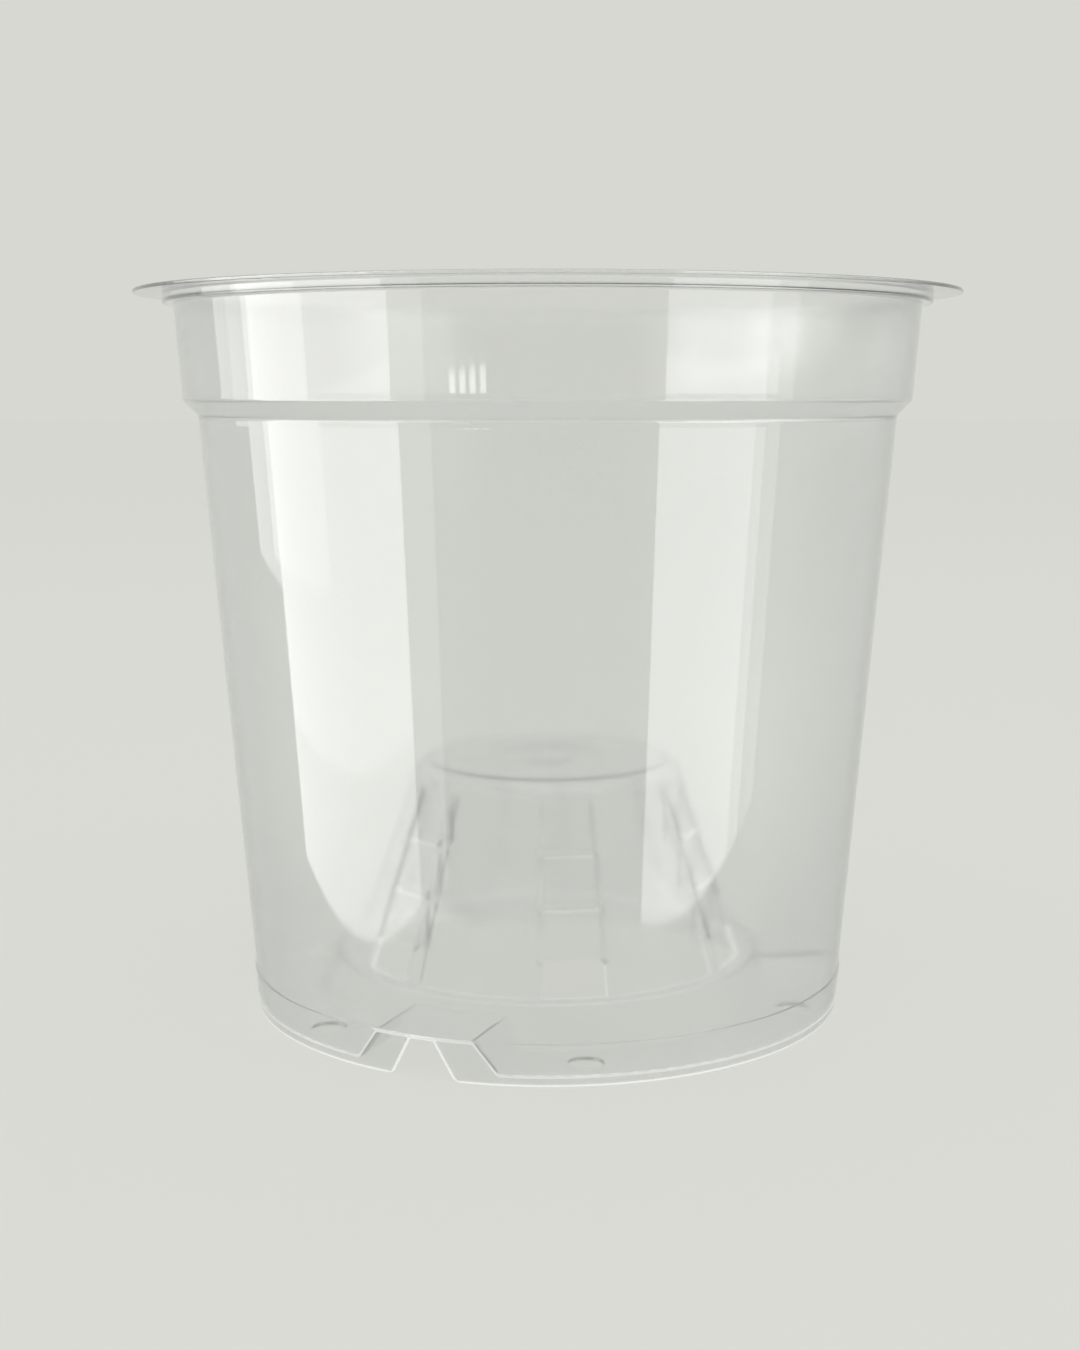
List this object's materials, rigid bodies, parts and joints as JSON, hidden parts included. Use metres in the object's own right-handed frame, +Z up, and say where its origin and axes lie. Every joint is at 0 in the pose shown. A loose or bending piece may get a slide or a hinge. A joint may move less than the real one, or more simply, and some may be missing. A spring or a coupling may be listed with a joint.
{
  "type": "orchid pot with slots",
  "caption": "Clear round orchid pot with a flat rim flange, a stepped collar, a tapered wall, a notched foot and a raised hollow cone with louvred air slots in its floor.",
  "frame": {"origin": "middle of the circle that the foot stands on", "axes": "+Z up along the pot's axis; -Y towards the side seen in the picture"},
  "size_m": [0.19, 0.19, 0.1674],
  "materials": {
    "clear_plastic": "clear, slightly hazy moulded polypropylene, glossy on the wall and a little frosted at the foot and floor"
  },
  "bodies": {
    "root": {"rim_flange": "clear_plastic", "collar_band": "clear_plastic", "step_ledge": "clear_plastic", "body_wall": "clear_plastic", "foot_skirt": "clear_plastic", "floor_segment_1": "clear_plastic", "floor_segment_2": "clear_plastic", "floor_segment_3": "clear_plastic", "drain_channel_1": "clear_plastic", "drain_channel_2": "clear_plastic", "drain_channel_3": "clear_plastic", "base_step": "clear_plastic", "cone_wall": "clear_plastic", "louvre_panel_1": "clear_plastic", "louvre_panel_2": "clear_plastic", "louvre_panel_3": "clear_plastic", "louvre_panel_4": "clear_plastic", "louvre_panel_5": "clear_plastic", "louvre_panel_6": "clear_plastic", "cone_cap": "clear_plastic"}
  },
  "joints": []
}
